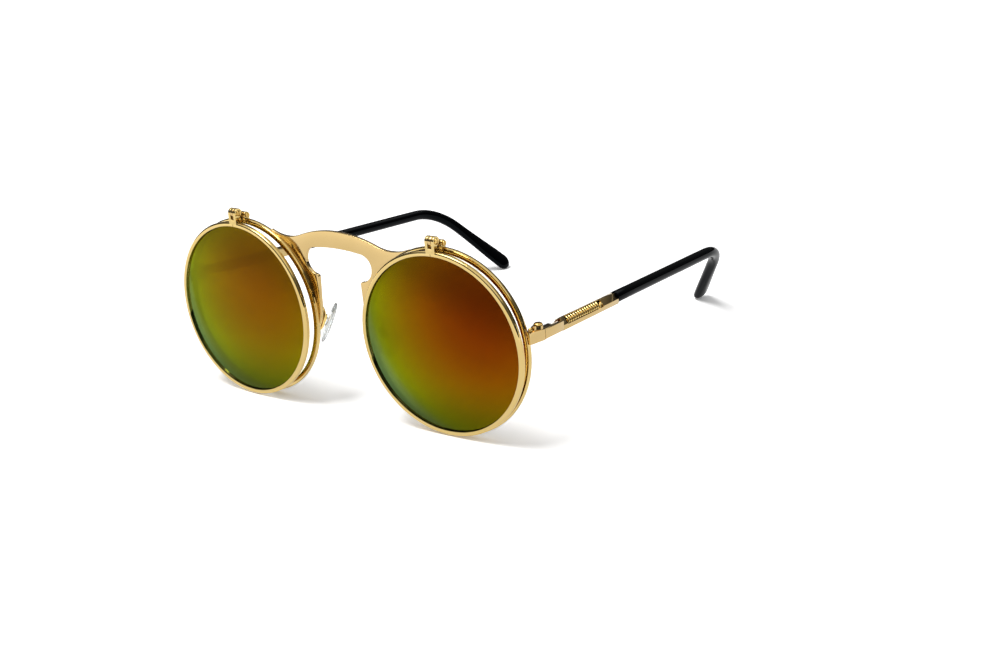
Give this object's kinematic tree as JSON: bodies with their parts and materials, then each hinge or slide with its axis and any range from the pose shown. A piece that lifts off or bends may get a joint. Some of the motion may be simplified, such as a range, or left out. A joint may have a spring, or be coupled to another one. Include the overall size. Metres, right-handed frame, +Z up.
{
  "type": "flip up sunglasses",
  "caption": "Round metal spectacles whose mirrored sun lenses lift on small top hinges over clear lenses, with a keyhole bridge, spring temples and black ear tips.",
  "frame": {"origin": "on the ground under the middle of the open glasses, standing on the rims' bottoms and the ends of the temple tips", "axes": "+X to the wearer's left, +Y from the lenses back along the temples, +Z up"},
  "size_m": [0.1268, 0.1368, 0.0556],
  "materials": {
    "gold": "polished gold plating",
    "gold_rim": "polished gold plating",
    "gold_wire": "bright gold plating",
    "gold_screw": "bright gold plating",
    "mirror_lens": "olive to brown mirror coating",
    "clear_lens": "clear and polished",
    "clear_pad": "clear soft silicone",
    "black_tip": "glossy black"
  },
  "bodies": {
    "frame": {"base_rim_left": "gold", "base_rim_right": "gold", "bridge_plate": "gold", "clear_lens_left": "clear_lens", "clear_lens_right": "clear_lens", "endpiece_left": "gold", "endpiece_right": "gold", "rim_lock_screw_left": "gold_screw", "rim_lock_screw_right": "gold_screw", "flip_link_left": "gold", "flip_link_right": "gold", "link_screw_left": "gold_screw", "link_screw_right": "gold_screw", "pad_arm_left": "gold_wire", "pad_arm_right": "gold_wire", "pad_box_left": "gold_wire", "pad_box_right": "gold_wire", "pad_screw_left": "gold_screw", "pad_screw_right": "gold_screw", "nose_pad_left": "clear_pad", "nose_pad_right": "clear_pad", "temple_hinge_screw_left": "gold_screw", "temple_hinge_screw_right": "gold_screw"},
    "flip_left": {"flip_rim_left": "gold_rim", "flip_lens_left": "mirror_lens", "flip_hinge_screw_left": "gold_screw"},
    "flip_right": {"flip_rim_right": "gold_rim", "flip_lens_right": "mirror_lens", "flip_hinge_screw_right": "gold_screw"},
    "temple_left": {"temple_arm_left": "gold", "temple_sleeve_left": "gold", "temple_spring_left": "gold_wire", "temple_tip_left": "black_tip"},
    "temple_right": {"temple_arm_right": "gold", "temple_sleeve_right": "gold", "temple_spring_right": "gold_wire", "temple_tip_right": "black_tip"}
  },
  "joints": [
    {"name": "flip_left_hinge", "type": "hinge", "parent": "frame", "child": "flip_left", "pos_m": [0.03545, -0.06578, 0.0543], "axis": [-0.9992, -0.0393, 0], "range_deg": [0, 97]},
    {"name": "flip_right_hinge", "type": "hinge", "parent": "frame", "child": "flip_right", "pos_m": [-0.03545, -0.06578, 0.0543], "axis": [-0.9992, 0.0393, 0], "range_deg": [-2.5, 94.5]},
    {"name": "temple_left_hinge", "type": "hinge", "parent": "frame", "child": "temple_left", "pos_m": [0.0615, -0.05799, 0.03125], "axis": [0, 0, 1], "range_deg": [0, 80]},
    {"name": "temple_right_hinge", "type": "hinge", "parent": "frame", "child": "temple_right", "pos_m": [-0.0615, -0.05799, 0.03125], "axis": [0, 0, -1], "range_deg": [0, 65]}
  ]
}
